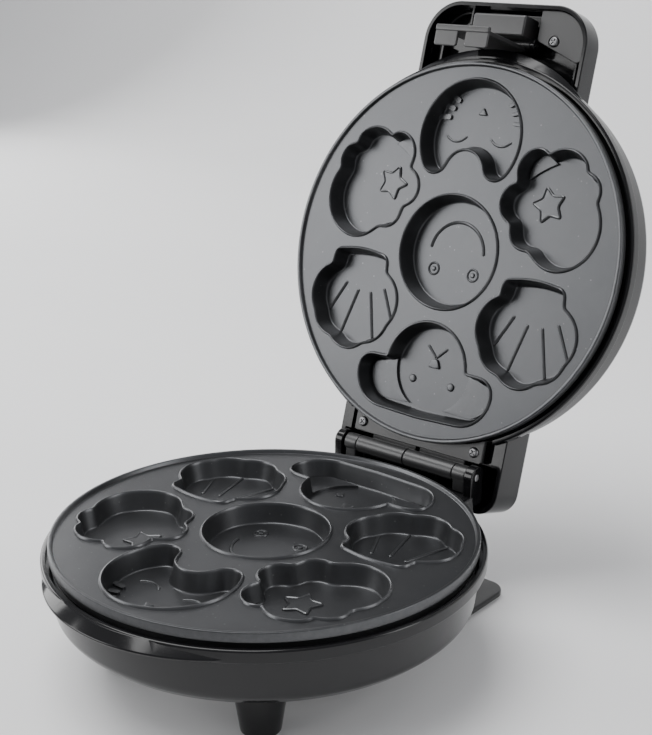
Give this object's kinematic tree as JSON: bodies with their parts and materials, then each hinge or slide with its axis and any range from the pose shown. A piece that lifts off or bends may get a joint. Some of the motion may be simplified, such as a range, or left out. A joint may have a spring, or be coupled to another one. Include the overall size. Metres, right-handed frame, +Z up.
{
  "type": "donut maker",
  "caption": "Round two-plate baking machine with shaped cups, a hinged lid that stands open, a sprung front latch, two legs and a wide rear foot.",
  "frame": {"origin": "on the surface it stands on, under the middle of the open machine's length and width", "axes": "+Z up, -Y towards the user at the latch, +Y towards the hinge and the open lid, +X to the user's right"},
  "size_m": [0.212, 0.3244, 0.3032],
  "materials": {
    "gloss_black": "glossy black moulded housing, polished",
    "satin_black": "satin black moulded plastic",
    "non_stick_coating": "cast aluminium under a satin dark grey non-stick coating",
    "steel": "plain steel",
    "dark_steel": "blackened steel",
    "aluminium": "bright pressed aluminium",
    "rubber": "matt black rubber",
    "ceramic": "unglazed off-white ceramic",
    "red_lens": "clear red moulded lens",
    "green_lens": "clear green moulded lens"
  },
  "bodies": {
    "base": {"lower_housing": "gloss_black", "bottom_cover": "satin_black", "cover_screw_1": "steel", "cover_screw_2": "steel", "cover_screw_3": "steel", "lower_cooking_plate": "non_stick_coating", "lower_heating_element": "dark_steel", "lower_heat_shield": "aluminium", "thermostat": "aluminium", "thermal_fuse": "ceramic", "terminal_block": "ceramic", "hinge_pin": "steel", "cord_gland": "satin_black", "rear_foot": "gloss_black", "front_leg_left": "gloss_black", "front_leg_right": "gloss_black", "front_pad_left": "rubber", "front_pad_right": "rubber", "rear_pad_left": "rubber", "rear_pad_right": "rubber", "hinge_knuckle_left": "satin_black", "hinge_knuckle_right": "satin_black"},
    "lid": {"hinge_barrel_left": "satin_black", "hinge_barrel_right": "satin_black", "bracket_screw_left": "dark_steel", "bracket_screw_right": "dark_steel", "lid_housing": "gloss_black", "lid_hinge_bracket": "satin_black", "upper_cooking_plate": "non_stick_coating", "upper_heating_element": "dark_steel", "upper_heat_shield": "aluminium", "handle": "gloss_black", "handle_cover": "satin_black", "handle_cover_screw": "dark_steel", "power_lens": "red_lens", "ready_lens": "green_lens", "latch_pin": "steel", "latch_spring": "steel"},
    "latch": {"latch": "satin_black"}
  },
  "joints": [
    {"name": "lid_hinge", "type": "hinge", "parent": "base", "child": "lid", "pos_m": [0, 0.06262, 0.06706], "axis": [1, 0, 0], "range_deg": [0, 106.44]},
    {"name": "latch_pivot", "type": "hinge", "parent": "lid", "child": "latch", "pos_m": [0, 0.14568, 0.28163], "axis": [-1, 0, 0], "range_deg": [0, 8], "stiffness_Nm_per_rad": 0.3, "springref_deg": -5.73}
  ]
}
